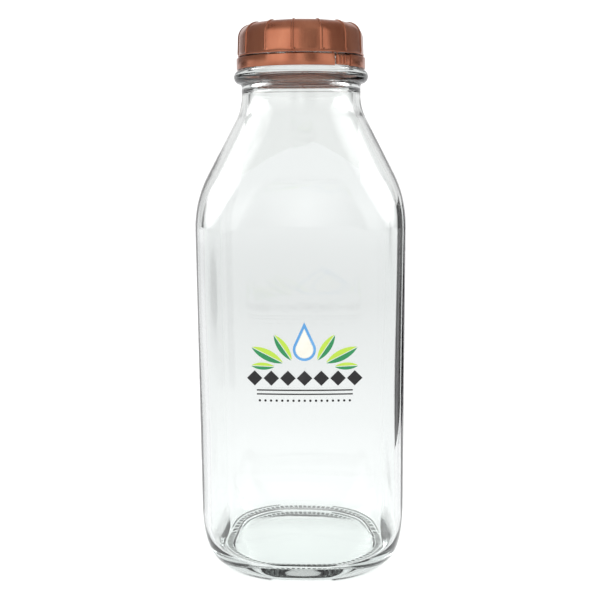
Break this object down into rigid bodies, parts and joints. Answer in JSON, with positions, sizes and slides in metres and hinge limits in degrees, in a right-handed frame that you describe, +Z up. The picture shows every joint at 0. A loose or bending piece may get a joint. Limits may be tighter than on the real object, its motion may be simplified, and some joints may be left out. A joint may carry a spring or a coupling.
{
  "type": "glass milk bottle",
  "caption": "Rounded-square clear glass milk bottle with a ribbed copper screw cap, a tear-off tamper band and a small enamel print of a drop and leaves.",
  "frame": {"origin": "on the bottle's axis, in the plane of the ring that it stands on", "axes": "+Z up along the bottle's axis, -Y the printed front, +X to the right of someone facing the print"},
  "size_m": [0.0864, 0.0866, 0.2258],
  "materials": {
    "clear_glass": "clear soda-lime glass, smooth fire-polished surface",
    "copper_plastic": "semi-gloss metallic copper colour, moulded polyethylene",
    "liner_foam": "matte copper-brown foamed polyethylene",
    "black_enamel": "fired enamel, semi-gloss",
    "green_enamel": "fired enamel, semi-gloss",
    "lime_enamel": "fired enamel, semi-gloss",
    "blue_enamel": "fired enamel, semi-gloss",
    "cream_enamel": "fired enamel, semi-gloss"
  },
  "bodies": {
    "bottle": {"glass_bottle": "clear_glass", "enamel_black": "black_enamel", "enamel_green": "green_enamel", "enamel_lime": "lime_enamel", "enamel_blue": "blue_enamel", "enamel_cream": "cream_enamel"},
    "liner": {"cap_liner": "liner_foam"},
    "cap": {"cap_shell": "copper_plastic", "band_bridges": "copper_plastic"},
    "band": {"tamper_band": "copper_plastic"},
    "tab": {"tear_tab": "copper_plastic"}
  },
  "joints": [
    {"name": "cap_rise", "type": "slide", "parent": "bottle", "child": "liner", "axis": [0, 0, 1], "range_m": [0, 0.0254]},
    {"name": "cap_turn", "type": "hinge", "parent": "liner", "child": "cap", "pos_m": [0, 0, 0.2127], "axis": [0, 0, 1], "range_deg": [0, 720]},
    {"name": "band_spin", "type": "hinge", "parent": "bottle", "child": "band", "pos_m": [0, 0, 0.2076], "axis": [0, 0, 1], "continuous": true},
    {"name": "tab_pull", "type": "hinge", "parent": "band", "child": "tab", "pos_m": [0.01946, -0.01725, 0.2098], "axis": [0, 0, 1], "range_deg": [0, 90]}
  ],
  "couplings": [
    {"joint": "cap_rise", "follows": "cap_turn", "m_per_rad": 0.0020213}
  ]
}
